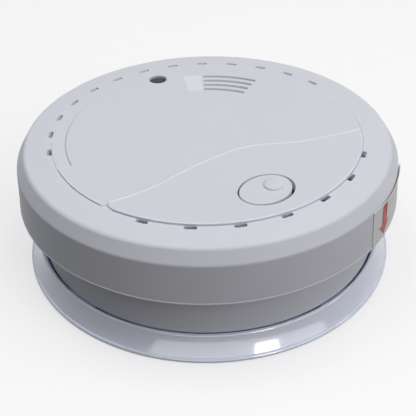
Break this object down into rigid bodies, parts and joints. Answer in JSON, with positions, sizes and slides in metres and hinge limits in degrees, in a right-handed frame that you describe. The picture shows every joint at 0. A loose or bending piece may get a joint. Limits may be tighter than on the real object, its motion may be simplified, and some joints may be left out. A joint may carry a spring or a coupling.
{
  "type": "smoke alarm",
  "caption": "Round ceiling smoke alarm with an oval test button, siren grille and vent ring, on a flared twist-lock mounting plate.",
  "frame": {"origin": "centre of the mounting plate's flat back, which goes against the ceiling", "axes": "+Z away from the ceiling towards the front of the alarm, -Y towards the side with the test button, +X to the right seen from -Y"},
  "size_m": [0.101, 0.101, 0.0355],
  "materials": {
    "gloss_white": "glossy injection-moulded white",
    "matte_white": "fine matte white",
    "cover_white": "satin white",
    "clear_rod": "clear acrylic",
    "label_paper": "white sticker with a red arrow",
    "board_laminate": "green solder mask",
    "lamp_epoxy": "red tinted epoxy",
    "black_plastic": "black, slightly rough",
    "steel": "plated steel",
    "clear_epoxy": "water-clear epoxy",
    "dark_epoxy": "dark epoxy",
    "brass": "rolled brass",
    "ceramic": "fired ceramic with silvered face",
    "battery_jacket": "printed metal jacket",
    "capacitor_sleeve": "dark blue sleeve",
    "copper": "enamelled copper winding"
  },
  "bodies": {
    "ceiling_plate": {"mounting_plate": "gloss_white"},
    "alarm": {"back_housing": "matte_white", "battery_jacket": "battery_jacket", "battery_terminal_negative": "steel", "battery_terminal_plate": "black_plastic", "battery_terminal_positive": "steel", "board_screw_1": "steel", "board_screw_2": "steel", "board_screw_3": "steel", "board_screw_4": "steel", "boost_coil": "copper", "capacitor_large": "capacitor_sleeve", "capacitor_small": "capacitor_sleeve", "chamber_base": "black_plastic", "chamber_cap": "black_plastic", "circuit_board": "board_laminate", "contact_negative": "steel", "contact_positive": "steel", "controller_chip": "black_plastic", "front_cover": "cover_white", "indicator_led": "lamp_epoxy", "insect_screen": "steel", "ir_emitter": "clear_epoxy", "led_light_guide": "clear_rod", "photodiode": "dark_epoxy", "piezo_brass_disc": "brass", "piezo_ceramic": "ceramic", "side_label": "label_paper", "sounder_housing": "black_plastic", "sounder_spring_brass": "steel", "sounder_spring_feedback": "steel", "sounder_spring_main": "steel", "tact_switch_body": "black_plastic"},
    "button": {"test_button": "cover_white"},
    "switch_plunger": {"tact_switch_plunger": "matte_white"}
  },
  "joints": [
    {"name": "alarm_twist", "type": "hinge", "parent": "ceiling_plate", "child": "alarm", "pos_m": [0, 0, 0], "axis": [0, 0, 1], "range_deg": [0, 14]},
    {"name": "button_press", "type": "hinge", "parent": "alarm", "child": "button", "pos_m": [0.00561, -0.03284, 0.0306], "axis": [-0.5736, 0.8192, 0], "range_deg": [0, 2.3], "stiffness_Nm_per_rad": 0.05, "springref_deg": -0.11},
    {"name": "plunger_press", "type": "slide", "parent": "alarm", "child": "switch_plunger", "axis": [0, 0, -1], "range_m": [0, 0.00045]}
  ],
  "couplings": [
    {"joint": "plunger_press", "follows": "button_press", "m_per_rad": 0.011}
  ]
}
